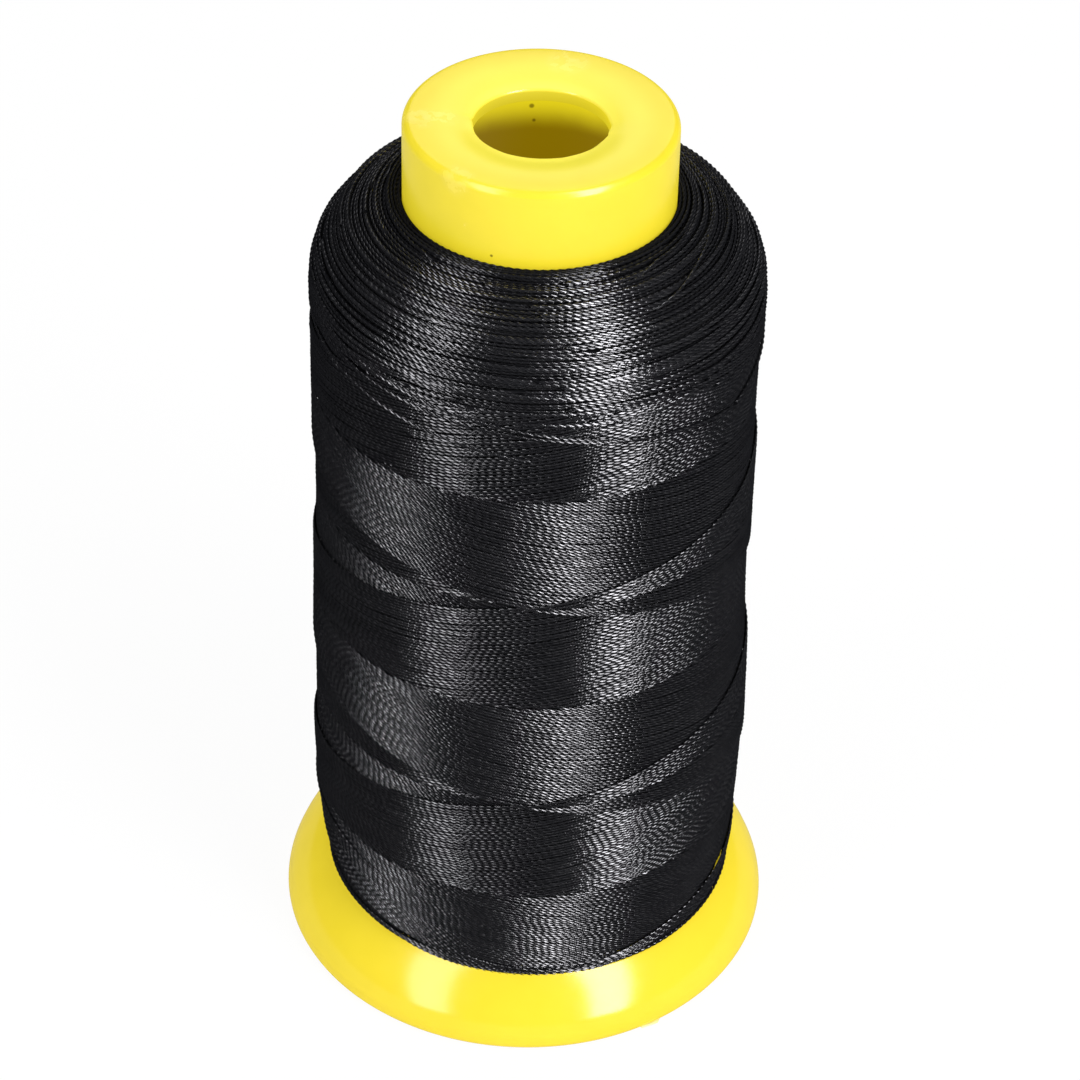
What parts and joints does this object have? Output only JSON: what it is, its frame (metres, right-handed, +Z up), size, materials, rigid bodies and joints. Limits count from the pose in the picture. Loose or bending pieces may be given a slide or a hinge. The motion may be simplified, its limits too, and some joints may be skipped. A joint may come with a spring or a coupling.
{
  "type": "spool of thread",
  "caption": "Tall king spool of dark twisted thread, cross-wound on a hollow moulded core with a wide domed flange and a bare collar.",
  "frame": {"origin": "centre of the core's flat underside, on the spindle axis", "axes": "+Z up along the spindle axis, from the flange to the collar; +X and +Y level, the shape is round"},
  "size_m": [0.064, 0.064, 0.1215],
  "materials": {
    "core_plastic": "glossy moulded plastic, slightly translucent, bright yellow",
    "thread": "twisted multi-ply thread, black with a satin sheen"
  },
  "bodies": {
    "root": {"spool_core": "core_plastic", "thread_package": "thread", "foot_turns": "thread", "collar_turns": "thread"}
  },
  "joints": []
}
